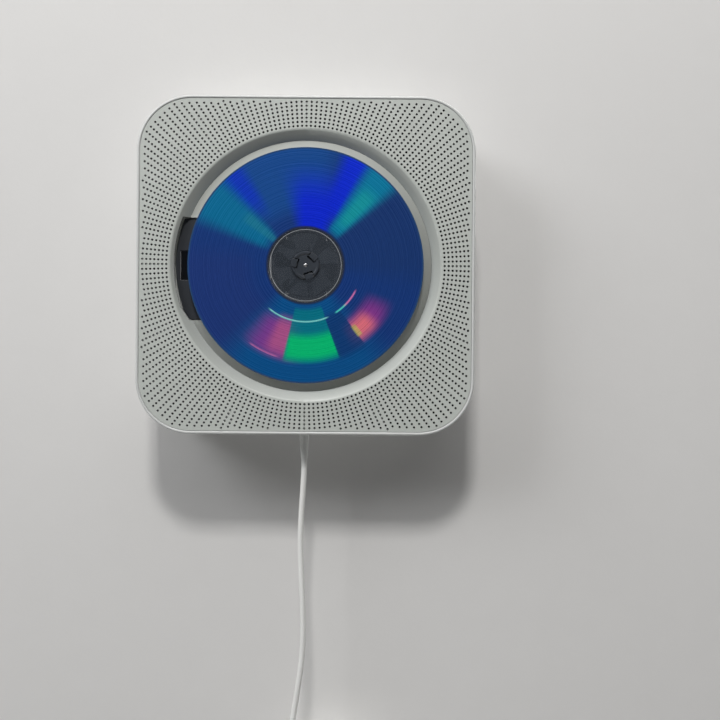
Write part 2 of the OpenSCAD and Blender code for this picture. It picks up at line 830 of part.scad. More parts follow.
module speaker_frames() {
    rim_r = speaker_r - speaker_t;
    color("#303336") room() on_speakers() rotate_extrude($fn = 64) polygon([
        [speaker_neck_r, 0], [speaker_back_r, 0], [rim_r, speaker_h - 1.5], [speaker_r, speaker_h - 1.5],
        [speaker_r, speaker_h], [speaker_r - surround_w, speaker_h],
        [speaker_r - surround_w, speaker_h - 1.8], [rim_r - surround_w, speaker_h - 1.8],
        [speaker_back_r - speaker_t, 1.2], [speaker_neck_r, 1.2]
    ]);
}

module speaker_cones() {
    rim = speaker_h - 1.75;
    cone_t = 0.5;
    cap_r = 0.31 * speaker_r;
    cap_z = 0.26 * speaker_r;
    color("#17181a") room() on_speakers() rotate_extrude($fn = 64) polygon([
        [0, cap_z + 1.4], [cap_r, cap_z], [speaker_r - surround_w - 2.2, rim],
        [speaker_r - surround_w - seat_gap, rim], [speaker_r - surround_w - seat_gap, rim + cone_t],
        [speaker_r - surround_w - 2.4, rim + cone_t], [cap_r, cap_z + cone_t + 0.3], [0, cap_z + 2.2]
    ]);
}

module speaker_magnets() {
    color("#55585c") room() on_speakers() {
        translate([0, 0, -magnet_h]) cylinder(r = magnet_r, h = magnet_h, $fn = 64);
        translate([0, 0, -1]) cylinder(r = speaker_neck_r - 0.2, h = 0.2 * speaker_r + 1, $fn = 48);
    }
}

module main_board() {
    color("darkgreen") room() difference() {
        translate([board_left, board_low, board_z])
            cube([board_right - board_left, board_h, board_t]);
        for (p = board_holes) translate([p[0], p[1], board_z - over]) cylinder(d = 3, h = board_t + 2 * over, $fn = 48);
    }
}

module board_parts() {
    chip = 14;
    amplifier = [20, 8];
    socket = [22, 6];
    color("#2b2b2b") room() translate([board_left, board_low, board_z + board_t]) {
        translate([10, board_h - 32, 0]) cube([chip, chip, 1.6]);
        translate([12, 18, 0]) cube([amplifier[0], amplifier[1], 2.4]);
        translate([26, board_h - 34, 0]) cube([8, 16, 9]);
        translate([8, board_h - 14, 0]) cube([socket[0], socket[1], 7]);
        for (i = [0 : 2]) translate([board_right - board_left - 6, 14 + 12 * i, 0]) cylinder(d = 8, h = 12, $fn = 48);
        for (i = [0 : 2]) translate([8 + 10 * i, 8, 0]) cylinder(d = 5, h = 7, $fn = 48);
    }
}

module board_screws() {
    top = board_z + board_t;
    color("silver") room() for (p = board_holes) translate([p[0], p[1], top]) {
        cylinder(d = 5, h = 1.6, $fn = 48);
        translate([0, 0, -6]) cylinder(d = 2, h = 6.5, $fn = 48);
    }
}

module button_board() {
    color("darkgreen") room() translate([-shelf_half, shelf_y, button_z - shelf_w / 2])
        cube([2 * shelf_half, board_t, shelf_w]);
}

module tact_switches() {
    color("#222222") room() for (x = button_xs) translate([x, shelf_y + board_t, button_z]) difference() {
        translate([-switch_w / 2, 0, -switch_w / 2]) cube([switch_w, switch_h, switch_w]);
        translate([0, switch_h - switch_well, 0]) upright() cylinder(r = stem_r + 0.2, h = 2 * switch_well, $fn = 48);
    }
}

module button(i) {
    color("whitesmoke") room() translate([button_xs[i], 0, button_z]) upright() {
        translate([0, 0, wall_in - seat_gap])
            linear_extrude(wall_t + seat_gap + button_proud) stadium(button_l, button_w);
        translate([0, 0, wall_in - seat_gap - flange_h])
            linear_extrude(flange_h) stadium(button_l + 2 * flange_lap, button_w + 2 * flange_lap);
        translate([0, 0, wall_in - seat_gap - flange_h - stem_h]) cylinder(r = stem_r, h = stem_h, $fn = 48);
    }
}

module button_power() button(0);
module button_volume_down() button(1);
module button_volume_up() button(2);
module button_previous() button(3);
module button_play() button(4);
module button_next() button(5);

module headphone_jack() {
    nose = wall_t + 1.5;
    color("#2a2a2a") room() translate([jack_x, case_bottom, jack_z]) upright() difference() {
        union() {
            cylinder(r = jack_nose_r, h = nose, $fn = 64);
            translate([-4.5, -4.5, wall_t]) cube([9, 9, jack_depth]);
        }
        translate([0, 0, -over]) cylinder(r = jack_r, h = jack_depth + over, $fn = 48);
    }
}

// pull switch and lead

module on_cord(y) {
    translate([cord_x, y, cord_z]) upright() children();
}

module cord_bushing() {
    color("whitesmoke") room() on_cord(case_bottom) difference() {
        union() {
            cylinder(r = bushing_r - shaft_gap, h = wall_t, $fn = 64);
            translate([0, 0, wall_t]) cylinder(r = bushing_flange_r, h = bushing_flange_h, $fn = 64);
        }
        translate([0, 0, -over]) cylinder(r = relief_r + 0.1, h = wall_t + bushing_flange_h + 2 * over, $fn = 64);
    }
}

module pull_guide() {
    bottom = case_bottom + wall_t;
    roof = plunger_y + plunger_h + guide_head;
    bore_r = max(plunger_r, bushing_flange_r) + slide_gap;
    color("#2f3236") room() on_cord(bottom) difference() {
        translate([-guide_w / 2, -guide_t / 2]) cube([guide_w, guide_t, roof + guide_roof - bottom]);
        translate([0, 0, -over]) cylinder(r = bore_r, h = roof - bottom + over, $fn = 64);
        translate([0, 0, sense_y - bottom]) rotate([0, 90, 0]) cylinder(r = sense_r + 0.3, h = guide_w, $fn = 48);
    }
}

module pull_switch() {
    reach = guide_w / 2 - plunger_r - 0.2;
    color("#1c1c1c") room() translate([cord_x + guide_w / 2, sense_y, cord_z]) {
        translate([0, -6, -3]) cube([5, 12, 6]);
        translate([5, -4, -2]) cube([1.5, 8, 4]);
        translate([-reach, 0, 0]) rotate([0, 90, 0]) cylinder(r = sense_r, h = reach + 1, $fn = 48);
    }
}

module pull_plunger() {
    color("ivory") room() on_cord(plunger_y) difference() {
        cylinder(r = plunger_r, h = plunger_h, $fn = 64);
        translate([0, 0, 3]) cylinder(r = cord_d / 2, h = plunger_h, $fn = 48);
    }
}

module pull_spring() {
    low = case_bottom + wall_t + bushing_flange_h;
    high = plunger_y;
    color("silver") room() on_cord(low)
        helix(spring_r, spring_wire, spring_turns, high - low);
}

module strain_relief() {
    color("whitesmoke") room() on_cord(0) rotate_extrude($fn = 64) polygon([
        [0, relief_y], [relief_end_r, relief_y], [relief_r, relief_y + relief_taper],
        [relief_r, plunger_y], [0, plunger_y]
    ]);
}

// a tube along points that lie mostly in one plane
module swept(points, d, sides) {
    n = len(points);
    rings = [for (i = [0 : n - 1]) let (
        t = points[min(i + 1, n - 1)] - points[max(i - 1, 0)],
        u = cross(t / norm(t), [0, 0, 1]),
        a = u / norm(u),
        b = cross(a, t / norm(t))
    ) for (k = [0 : sides - 1]) points[i] + d / 2 * (cos(k * 360 / sides) * a + sin(k * 360 / sides) * b)];
    sides_faces = [for (i = [0 : n - 2], k = [0 : sides - 1]) let (
        p = i * sides + k, q = i * sides + (k + 1) % sides
    ) each [[p, q, q + sides], [p, q + sides, p + sides]]];
    caps = [for (k = [1 : sides - 2]) each [
        [0, k + 1, k], [(n - 1) * sides, (n - 1) * sides + k, (n - 1) * sides + k + 1]
    ]];
    polyhedron(points = rings, faces = concat(sides_faces, caps));
}

// a compression spring standing on its first turn
module helix(r, wire, turns, h) {
    steps = 8 * turns;
    rise = h - wire;
    rotate([90, 0, 0]) swept([for (i = [0 : steps]) [
        r * cos(i * 45), wire / 2 + rise * i / steps, r * sin(i * 45)
    ]], wire, 6);
}

module cord_hang() {
    color("white") room()
        swept([for (p = cord_route) [p[0], p[1], cord_z]], cord_d, hang_sides);
}

// centre line of the coil: turns spiral in and out, layer behind layer
function coil_radius(u) =
    let (k = min(floor(u / layer_turns), coil_layers - 1), w = u - k * layer_turns)
    coil_r - coil_pitch * (k % 2 == 0 ? w : layer_turns - w);
function coil_layer(u) =
    let (k = round(u / layer_turns), w = u - k * layer_turns, c = max(-0.25, min(0.25, w)))
    (k == 0 || k == coil_layers) ? min(k, coil_layers - 1) : k - 0.5 + 2 * c;
coil_points = concat(
    [[coil_start[0], coil_y + straight, cord_z]],
    [for (i = [0 : coil_turns * coil_steps]) let (u = i / coil_steps)
        [coil_x, coil_y, cord_z] + [
            coil_radius(u) * cos(180 + 360 * u), coil_radius(u) * sin(180 + 360 * u),
            -coil_pitch * coil_layer(u)
        ]],
    [[coil_start[0], coil_y - straight, coil_back_z]]
);

module cord_coil() {
    color("white") room() swept(coil_points, cord_d, coil_sides);
}

module cord_tie() {
    inner = coil_r - coil_pitch * layer_turns - cord_d / 2 - tie_gap - 0.5;
    outer = coil_r + cord_d / 2 + tie_gap;
    low = coil_back_z - cord_d / 2 - tie_gap;
    high = cord_z + cord_d / 2 + tie_gap;
    color("#333333") room() translate([coil_x, coil_y - tie_w / 2]) difference() {
        translate([inner - tie_t, 0, low - tie_t]) cube([outer - inner + 2 * tie_t, tie_w, high - low + 2 * tie_t]);
        translate([inner, -over, low]) cube([outer - inner, tie_w + 2 * over, high - low]);
    }
}

module plug() {
    color("#2b2b2b") room() translate([coil_start[0], plug_y, coil_back_z]) rotate([90, 0, 0])
        rotate_extrude($fn = 64) polygon([
            [0, 0], [cord_d / 2 + 0.2, 0], [cord_d / 2 + 1, plug_taper], [plug_r - 0.5, plug_taper],
            [plug_r, plug_taper + 0.8], [plug_r, plug_taper + plug_l - 1],
            [plug_r - 0.6, plug_taper + plug_l], [0, plug_taper + plug_l]
        ]);
}

module plug_barrel() {
    color("silver") room() translate([coil_start[0], plug_y - plug_taper - plug_l, coil_back_z])
        rotate([90, 0, 0]) tube(barrel_r, barrel_bore_r, barrel_l);
}

// least distance between two stretches of the coil more than half a turn apart
coil_gap = min([for (i = [0 : 2 : len(coil_points) - 1], j = [i + coil_steps / 2 : len(coil_points) - 1])
    norm(coil_points[i] - coil_points[j])]) - cord_d;
function path_length(p, i = 0) = i >= len(p) - 1 ? 0 : norm(p[i + 1] - p[i]) + path_length(p, i + 1);
echo(coil_gap = coil_gap, coil_length = path_length(coil_points), hang_length = path_length(cord_route));

wall_bracket();
rear_cover();
rear_pads();
case_screws();
case_shell();
front_frame();
front_grille();
disc_well();
deck_cover();
mechanism_chassis();
chassis_dampers();
guide_rods();
spindle_motor();
spindle_shaft();
turntable();
hub_claw_a();
hub_claw_b();
hub_claw_c();
disc();
sled_motor();
motor_pinion();
sled_gear();
pickup_sled();
pickup_rack();
pickup_lens();
speaker_frames();
speaker_cones();
speaker_magnets();
main_board();
board_parts();
board_screws();
button_board();
tact_switches();
button_power();
button_volume_down();
button_volume_up();
button_previous();
button_play();
button_next();
headphone_jack();
cord_bushing();
pull_guide();
pull_switch();
pull_plunger();
pull_spring();
strain_relief();
cord_hang();
cord_coil();
cord_tie();
plug();
plug_barrel();
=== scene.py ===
import bmesh
import bpy
import json
from math import cos, pi, radians, sin
from mathutils import Matrix, Vector

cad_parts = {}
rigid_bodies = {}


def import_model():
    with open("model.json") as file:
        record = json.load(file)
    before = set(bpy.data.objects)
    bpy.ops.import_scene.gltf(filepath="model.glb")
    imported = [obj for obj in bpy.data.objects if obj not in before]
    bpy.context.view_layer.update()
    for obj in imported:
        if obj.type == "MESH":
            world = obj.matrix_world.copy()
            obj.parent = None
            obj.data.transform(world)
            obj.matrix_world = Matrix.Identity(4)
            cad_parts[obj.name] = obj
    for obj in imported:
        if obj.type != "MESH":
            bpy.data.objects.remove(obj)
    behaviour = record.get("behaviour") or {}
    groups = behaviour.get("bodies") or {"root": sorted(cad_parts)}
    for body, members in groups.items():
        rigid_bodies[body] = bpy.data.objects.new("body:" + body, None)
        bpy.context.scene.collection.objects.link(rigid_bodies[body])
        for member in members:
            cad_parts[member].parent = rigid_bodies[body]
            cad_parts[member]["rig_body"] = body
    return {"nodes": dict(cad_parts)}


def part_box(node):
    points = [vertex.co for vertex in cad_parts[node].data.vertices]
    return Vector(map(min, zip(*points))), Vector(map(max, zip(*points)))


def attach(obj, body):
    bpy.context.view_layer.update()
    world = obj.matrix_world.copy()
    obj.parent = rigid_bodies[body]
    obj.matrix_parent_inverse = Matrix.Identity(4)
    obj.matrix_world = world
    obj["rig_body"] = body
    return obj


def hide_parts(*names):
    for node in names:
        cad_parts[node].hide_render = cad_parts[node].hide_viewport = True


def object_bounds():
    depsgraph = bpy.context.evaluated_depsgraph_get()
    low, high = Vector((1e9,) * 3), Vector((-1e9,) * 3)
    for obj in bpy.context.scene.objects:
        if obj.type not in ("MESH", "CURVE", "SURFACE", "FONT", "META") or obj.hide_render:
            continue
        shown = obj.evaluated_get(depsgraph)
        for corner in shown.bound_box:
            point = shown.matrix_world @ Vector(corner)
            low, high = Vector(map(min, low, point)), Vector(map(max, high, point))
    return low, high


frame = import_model()
cad_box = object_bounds()
nodes = frame["nodes"]


# Camera. The picture was taken by hand, square to the wall, from a little
# under the player and to its right, with the phone turned by under half a degree.
face_depth = 0.041
camera_right, camera_low, camera_away = 0.028, 0.0479, 0.380
camera_turn = radians(0.43)
camera_data = bpy.data.cameras.new("camera")
camera_data.sensor_width = 36
camera_data.lens = 37.5
camera = bpy.data.objects.new("camera", camera_data)
camera.matrix_world = (Matrix.Translation((camera_right, -face_depth - camera_away, -camera_low))
                       @ Matrix.Rotation(radians(90), 4, "X") @ Matrix.Rotation(camera_turn, 4, "Z"))
bpy.context.scene.collection.objects.link(camera)
bpy.context.scene.camera = camera
bpy.context.scene.view_settings.view_transform = "Standard"


# Lead. One length of soft white vinyl cord runs from the pull switch's strain relief down
# the wall, then winds into a small round coil below the picture, held by a strap.
def grain_group():
    """Fine moulding grain: a slow tone, a roughness between two limits and a pimpled normal."""
    group = bpy.data.node_groups.new("moulded_grain", "ShaderNodeTree")
    for name, value in (("Grain", 3000.0), ("Depth", 0.00001), ("Smoothest", 0.4), ("Roughest", 0.5)):
        socket = group.interface.new_socket(name, in_out="INPUT", socket_type="NodeSocketFloat")
        socket.default_value = value
    group.interface.new_socket("Tone", in_out="OUTPUT", socket_type="NodeSocketFloat")
    group.interface.new_socket("Roughness", in_out="OUTPUT", socket_type="NodeSocketFloat")
    group.interface.new_socket("Normal", in_out="OUTPUT", socket_type="NodeSocketVector")
    make, join = group.nodes.new, group.links.new
    given, put = make("NodeGroupInput"), make("NodeGroupOutput")
    place = make("ShaderNodeTexCoord")
    cloudy = make("ShaderNodeTexNoise")
    cloudy.inputs["Scale"].default_value = 55
    cloudy.inputs["Detail"].default_value = 4
    join(place.outputs["Object"], cloudy.inputs["Vector"])
    join(cloudy.outputs["Fac"], put.inputs["Tone"])
    pimple = make("ShaderNodeTexNoise")
    pimple.inputs["Detail"].default_value = 2
    join(place.outputs["Object"], pimple.inputs["Vector"])
    join(given.outputs["Grain"], pimple.inputs["Scale"])
    sheen = make("ShaderNodeMapRange")
    join(cloudy.outputs["Fac"], sheen.inputs["Value"])
    join(given.outputs["Smoothest"], sheen.inputs["To Min"])
    join(given.outputs["Roughest"], sheen.inputs["To Max"])
    join(sheen.outputs["Result"], put.inputs["Roughness"])
    bump = make("ShaderNodeBump")
    bump.inputs["Strength"].default_value = 0.6
    join(given.outputs["Depth"], bump.inputs["Distance"])
    join(pimple.outputs["Fac"], bump.inputs["Height"])
    join(bump.outputs["Normal"], put.inputs["Normal"])
    return group


moulded_grain = grain_group()


def moulded(name, low, high, smoothest, roughest, grain=3000.0, depth=0.00001, **sockets):
    """A moulded or painted finish whose colour wanders between two close tones."""
    material = bpy.data.materials.new(name)
    material.use_nodes = True
    tree = material.node_tree
    shader = tree.nodes["Principled BSDF"]
    skin = tree.nodes.new("ShaderNodeGroup")
    skin.node_tree = moulded_grain
    for socket, value in (("Grain", grain), ("Depth", depth),
                          ("Smoothest", smoothest), ("Roughest", roughest)):
        skin.inputs[socket].default_value = value
    tone = tree.nodes.new("ShaderNodeMix")
    tone.data_type = "RGBA"
    tone.inputs["A"].default_value = (*low, 1)
    tone.inputs["B"].default_value = (*high, 1)
    tree.links.new(skin.outputs["Tone"], tone.inputs["Factor"])
    tree.links.new(tone.outputs["Result"], shader.inputs["Base Color"])
    tree.links.new(skin.outputs["Roughness"], shader.inputs["Roughness"])
    tree.links.new(skin.outputs["Normal"], shader.inputs["Normal"])
    for socket, value in sockets.items():
        shader.inputs[socket.replace("_", " ")].default_value = value
    return material


cord_d = 0.003
cord_depth = 0.0266
cord_route = [
    (-0.001, -0.100), (-0.001, -0.106), (-0.0014, -0.115), (-0.002, -0.125), (-0.0025, -0.137),
    (-0.0025, -0.148), (-0.002, -0.160), (-0.0013, -0.175), (-0.0009, -0.190), (-0.0012, -0.202),
    (-0.0028, -0.216), (-0.0046, -0.228), (-0.0064, -0.240), (-0.0076, -0.251), (-0.008, -0.260),
    (-0.008, -0.265),
]
coil_r, coil_pitch, coil_turns, coil_layers, coil_steps = 0.0235, 0.0035, 15, 4, 24
layer_turns = coil_turns / coil_layers
coil_x = cord_route[-1][0] + coil_r
coil_z = cord_route[-1][1] - cord_d
coil_back = cord_depth - (coil_layers - 1) * coil_pitch


def coil_point(turn):
    """The lead's middle after so many turns: it winds in and out again, layer behind layer."""
    layer = min(int(turn / layer_turns), coil_layers - 1)
    along = turn - layer * layer_turns
    radius = coil_r - coil_pitch * (along if layer % 2 == 0 else layer_turns - along)
    change = round(turn / layer_turns)
    if change in (0, coil_layers):
        step = min(change, coil_layers - 1)
    else:
        step = change - 0.5 + 2 * max(-0.25, min(0.25, turn - change * layer_turns))
    angle = pi + 2 * pi * turn
    return (coil_x + radius * cos(angle), -cord_depth + coil_pitch * step, coil_z + radius * sin(angle))


lead_points = [(x, -cord_depth, z) for x, z in cord_route]
lead_points += [coil_point(i / coil_steps) for i in range(coil_turns * coil_steps + 1)]
lead_points.append((cord_route[-1][0], -coil_back, coil_z - cord_d))

lead_curve = bpy.data.curves.new("lead", "CURVE")
lead_curve.dimensions = "3D"
lead_curve.bevel_depth = cord_d / 2
lead_curve.bevel_resolution = 4
lead_curve.resolution_u = 3
lead_curve.use_fill_caps = True
spline = lead_curve.splines.new("BEZIER")
spline.bezier_points.add(len(lead_points) - 1)
for point, place in zip(spline.bezier_points, lead_points):
    point.co = place
    point.handle_left_type = point.handle_right_type = "AUTO"
lead = bpy.data.objects.new("lead", lead_curve)
bpy.context.scene.collection.objects.link(lead)
lead_vinyl = moulded("lead_vinyl", (0.78, 0.78, 0.76), (0.84, 0.84, 0.82), 0.38, 0.5, 1800, 0.000012)
lead.data.materials.append(lead_vinyl)
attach(lead, "pull_cord")
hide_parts("cord_hang", "cord_coil")


# Lead's fittings: a tapered white strain relief at the top, a black strap round
# the coil, and a moulded low-voltage plug with a nickel barrel at the end.
def dressed(node, edge=0.0, crease=30, segments=2):
    """The node's own shape, its points joined, its edges rounded and, unless crease is 0, shaded smooth."""
    shape = bmesh.new()
    shape.from_mesh(nodes[node].data)
    bmesh.ops.remove_doubles(shape, verts=shape.verts, dist=1e-6)
    if edge:
        bmesh.ops.dissolve_limit(shape, angle_limit=radians(0.5), verts=shape.verts, edges=shape.edges)
        joined = [e for e in shape.edges if len(e.link_faces) == 2]
        sharp = [e for e in joined if e.calc_face_angle() > radians(crease)]
        bmesh.ops.bevel(shape, geom=sharp, offset=edge, offset_type="OFFSET", segments=segments,
                        profile=0.5, affect="EDGES", clamp_overlap=True, material=-1)
    mesh = bpy.data.meshes.new(node + "_finish")
    shape.to_mesh(mesh)
    shape.free()
    if crease:
        mesh.shade_smooth()
        mesh.set_sharp_from_angle(angle=radians(crease))
    piece = bpy.data.objects.new(node + "_finish", mesh)
    bpy.context.scene.collection.objects.link(piece)
    if edge:
        piece.modifiers.new("flat_faces", "WEIGHTED_NORMAL").keep_sharp = True
    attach(piece, nodes[node]["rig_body"])
    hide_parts(node)
    return piece


def finish(material, *names, edge=0.0, crease=30):
    """Dresses nodes that share a finish, and gives each piece that material."""
    for name in names:
        piece = dressed(name, edge, crease)
        piece.data.materials.append(material)


relief_vinyl = moulded("relief_vinyl", (0.76, 0.77, 0.75), (0.82, 0.83, 0.81), 0.42, 0.52, 2200, 0.00001)
finish(relief_vinyl, "strain_relief", edge=0.0003)
strap_rubber = moulded("strap_rubber", (0.018, 0.018, 0.018), (0.03, 0.03, 0.03), 0.55, 0.7,
                       2600, 0.00002)
finish(strap_rubber, "cord_tie", edge=0.0003)
plug_black = moulded("plug_black", (0.014, 0.014, 0.015), (0.024, 0.024, 0.026), 0.4, 0.55, 3400, 0.00002)
finish(plug_black, "plug", edge=0.0003)


def metal(name, low, high, smoothest, roughest, grain=3000.0, depth=0.000003):
    """A bare or plated metal with the same wandering tone."""
    return moulded(name, low, high, smoothest, roughest, grain, depth, Metallic=1.0)


nickel = metal("nickel", (0.62, 0.6, 0.56), (0.7, 0.68, 0.64), 0.16, 0.26)
finish(nickel, "plug_barrel", edge=0.0002)


# Wall, floor and light. A smooth painted wall, lit from above by a small lamp and a broad
# soft one, and from the upper left by a window. The wall can be looked through from behind.
def sheet_of(name, width, height, matrix):
    """A flat plane of that size, facing the way the matrix turns it."""
    shape = bmesh.new()
    bmesh.ops.create_grid(shape, x_segments=1, y_segments=1, size=0.5)
    bmesh.ops.scale(shape, vec=(width, height, 1), verts=shape.verts)
    bmesh.ops.transform(shape, matrix=matrix, verts=shape.verts)
    mesh = bpy.data.meshes.new(name)
    shape.to_mesh(mesh)
    shape.free()
    plane = bpy.data.objects.new(name, mesh)
    bpy.context.scene.collection.objects.link(plane)
    return plane


room_w, room_h, wall_gap = 3.2, 3.0, 0.0003
floor_z = cad_box[0][2] - 0.85
wall = sheet_of("wall", room_w, room_h, Matrix.Translation((0, wall_gap, floor_z + room_h / 2))
                @ Matrix.Rotation(radians(90), 4, "X"))
wall_paint = moulded("wall_paint", (0.70, 0.69, 0.68), (0.72, 0.71, 0.70), 0.8, 0.9, 420, 0.00006)
wall.data.materials.append(wall_paint)
tree = wall_paint.node_tree
behind = tree.nodes.new("ShaderNodeNewGeometry")
clear = tree.nodes.new("ShaderNodeBsdfTransparent")
either = tree.nodes.new("ShaderNodeMixShader")
tree.links.new(behind.outputs["Backfacing"], either.inputs["Fac"])
tree.links.new(tree.nodes["Principled BSDF"].outputs["BSDF"], either.inputs[1])
tree.links.new(clear.outputs["BSDF"], either.inputs[2])
tree.links.new(either.outputs["Shader"], tree.nodes["Material Output"].inputs["Surface"])

floor = sheet_of("floor", room_w, room_w, Matrix.Translation((0, 0, floor_z)))
floor_paint = moulded("floor_paint", (0.72, 0.72, 0.71), (0.74, 0.74, 0.73), 0.75, 0.85, 300, 0.00005)
floor.data.materials.append(floor_paint)

world = bpy.data.worlds.new("room")
bpy.context.scene.world = world
world.use_nodes = True
world.node_tree.nodes["Background"].inputs["Color"].default_value = (0.93, 0.96, 1.0, 1)
world.node_tree.nodes["Background"].inputs["Strength"].default_value = 0.03


def lamp(name, place, target, size, power, colour):
    """A square lamp at a place, turned to face a target."""
    data = bpy.data.lights.new(name, "AREA")
    data.shape = "RECTANGLE"
    data.size, data.size_y = size
    data.energy = power
    data.color = colour
    light = bpy.data.objects.new(name, data)
    toward = Vector(target) - Vector(place)
    light.matrix_world = Matrix.Translation(place) @ toward.to_track_quat("-Z", "Y").to_matrix().to_4x4()
    bpy.context.scene.collection.objects.link(light)
    return light


lamp("ceiling_lamp", (-0.04, -1.0, 1.25), (0, 0, 0), (0.22, 0.16), 15.5, (1.0, 0.99, 0.97))
lamp("ceiling_glow", (0, -1.3, 1.9), (0, 0, 0), (3.0, 1.4), 17, (1.0, 1.0, 1.0))
lamp("window", (-1.3, -0.9, 1.0), (0, 0, 0), (0.8, 0.8), 15, (0.97, 0.985, 1.0))
back_light = lamp("back_light", (0.5, 1.1, 0.6), (0, 0, 0), (0.8, 0.8), 14, (1.0, 1.0, 1.0))
blockers = bpy.data.collections.new("back_light_blockers")
for thing in bpy.context.scene.collection.objects:
    if thing.type in ("MESH", "CURVE") and thing is not wall:
        blockers.objects.link(thing)
back_light.light_linking.blocker_collection = blockers


# Wall bracket. A pressed steel plate, powder coated white, fixed to the wall
# by two screws, with two hooks bent up to carry the player.
powder_coat = moulded("powder_coat", (0.72, 0.72, 0.70), (0.77, 0.77, 0.75), 0.4, 0.5, 2400, 0.00002)
finish(powder_coat, "wall_bracket", edge=0.0003)


# Case. A white injection-moulded square tube with well rounded corners, and
# a back that carries the bracket's recess, held by four screws from behind.
case_white = moulded("case_white", (0.60, 0.61, 0.60), (0.64, 0.65, 0.64), 0.34, 0.44, 2600, 0.000006)
finish(case_white, "case_shell")
back_white = moulded("back_white", (0.66, 0.675, 0.655), (0.71, 0.725, 0.705), 0.45, 0.58, 2000, 0.00002)
finish(back_white, "rear_cover", edge=0.0002)
pad_rubber = moulded("pad_rubber", (0.02, 0.02, 0.02), (0.035, 0.035, 0.034), 0.6, 0.75, 2600, 0.00002)
finish(pad_rubber, "rear_pads", edge=0.0001)
zinc = metal("zinc", (0.42, 0.42, 0.44), (0.55, 0.55, 0.57), 0.25, 0.4)
finish(zinc, "case_screws", edge=0.0002)


# Front. A white grille drilled on two hundred rays, bonded to a frame whose
# lip rolls down from the grille's inner edge to the floor of the disc well,
# and backed by a thin black sheet of painted shade that makes the holes dark.
grille_white = moulded("grille_white", (0.50, 0.525, 0.495), (0.535, 0.56, 0.53), 0.36, 0.46,
                       2600, 0.000006)
finish(grille_white, "front_grille", crease=0)

# painted shade: the more a face turns sideways, the darker it is painted, so the holes' walls go black and
# the face that looks out stays white; the frame takes the same paint
tree = grille_white.node_tree
facing = tree.nodes.new("ShaderNodeTexCoord")
parts = tree.nodes.new("ShaderNodeSeparateXYZ")
tree.links.new(facing.outputs["Normal"], parts.inputs["Vector"])
outward = tree.nodes.new("ShaderNodeMath")
outward.operation = "ABSOLUTE"
tree.links.new(parts.outputs["Y"], outward.inputs[0])
hole_shade_paint = tree.nodes.new("ShaderNodeMix")
hole_shade_paint.data_type = "RGBA"
hole_shade_paint.inputs["A"].default_value = (0.02, 0.02, 0.02, 1)
shader = tree.nodes["Principled BSDF"]
tree.links.new(outward.outputs["Value"], hole_shade_paint.inputs["Factor"])
tree.links.new(shader.inputs["Base Color"].links[0].from_socket, hole_shade_paint.inputs["B"])
tree.links.new(hole_shade_paint.outputs["Result"], shader.inputs["Base Color"])
finish(grille_white, "front_frame", crease=25)

# the black sheet is painted shade behind the holes: a square with rounded corners and a round opening over
# the disc
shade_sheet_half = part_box("front_grille")[1][0] - 0.0003
shade_sheet_corner, shade_sheet_bore, shade_sheet_t = 0.027, 0.0700, 0.00015
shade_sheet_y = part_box("front_grille")[1][1] + 0.00005
shade_sheet = bmesh.new()
bmesh.ops.create_grid(shade_sheet, x_segments=1, y_segments=1, size=shade_sheet_half)
bmesh.ops.bevel(shade_sheet, geom=shade_sheet.verts[:], offset=shade_sheet_corner, offset_type="OFFSET", segments=16,
                profile=0.5, affect="VERTICES", material=-1)
bmesh.ops.delete(shade_sheet, geom=shade_sheet.faces[:], context="FACES_ONLY")
sides = [e for e in shade_sheet.edges if e.calc_length() > shade_sheet_corner]
bmesh.ops.subdivide_edges(shade_sheet, edges=sides, cuts=24)
bmesh.ops.create_circle(shade_sheet, cap_ends=False, segments=160, radius=shade_sheet_bore)
bmesh.ops.bridge_loops(shade_sheet, edges=shade_sheet.edges[:])
bmesh.ops.rotate(shade_sheet, cent=(0, 0, 0), matrix=Matrix.Rotation(radians(90), 3, "X"), verts=shade_sheet.verts)
bmesh.ops.translate(shade_sheet, vec=(0, shade_sheet_y, 0), verts=shade_sheet.verts)
back = bmesh.ops.extrude_face_region(shade_sheet, geom=shade_sheet.faces[:])["geom"]
back = [e for e in back if isinstance(e, bmesh.types.BMVert)]
bmesh.ops.translate(shade_sheet, vec=(0, shade_sheet_t, 0), verts=back)
bmesh.ops.recalc_face_normals(shade_sheet, faces=shade_sheet.faces)
mesh = bpy.data.meshes.new("painted_shade_sheet")
shade_sheet.to_mesh(mesh)
shade_sheet.free()
painted_shade_sheet = bpy.data.objects.new("painted_shade_sheet", mesh)
bpy.context.scene.collection.objects.link(painted_shade_sheet)
shade_sheet_black = moulded("shade_sheet_black", (0.008, 0.008, 0.008), (0.016, 0.016, 0.016), 0.85, 0.95,
                      1800, 0.00006)
painted_shade_sheet.data.materials.append(shade_sheet_black)
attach(painted_shade_sheet, "player")


# Disc well. The same white plastic as the case, painted darker as painted shade in the recess,
# a flat round floor with a large cut-out on the left through which the black mechanism shows.
shaded_well_white = moulded("shaded_well_white", (0.40, 0.415, 0.39), (0.43, 0.445, 0.42), 0.38, 0.48, 2600, 0.000006)
finish(shaded_well_white, "disc_well", crease=25)


# Deck. A black plate with a fine spark-eroded texture closes the mechanism's
# tray, which hangs in four rubber dampers under the well.
deck_black = moulded("deck_black", (0.018, 0.021, 0.026), (0.028, 0.032, 0.039), 0.42, 0.55, 2400, 0.00002)
finish(deck_black, "deck_cover", edge=0.0003)
tray_black = moulded("tray_black", (0.035, 0.038, 0.044), (0.045, 0.049, 0.056), 0.45, 0.6, 2000, 0.00002)
finish(tray_black, "mechanism_chassis", edge=0.0002)
finish(pad_rubber, "chassis_dampers")
rod_steel = metal("rod_steel", (0.6, 0.6, 0.61), (0.7, 0.7, 0.71), 0.12, 0.2)
finish(rod_steel, "guide_rods")


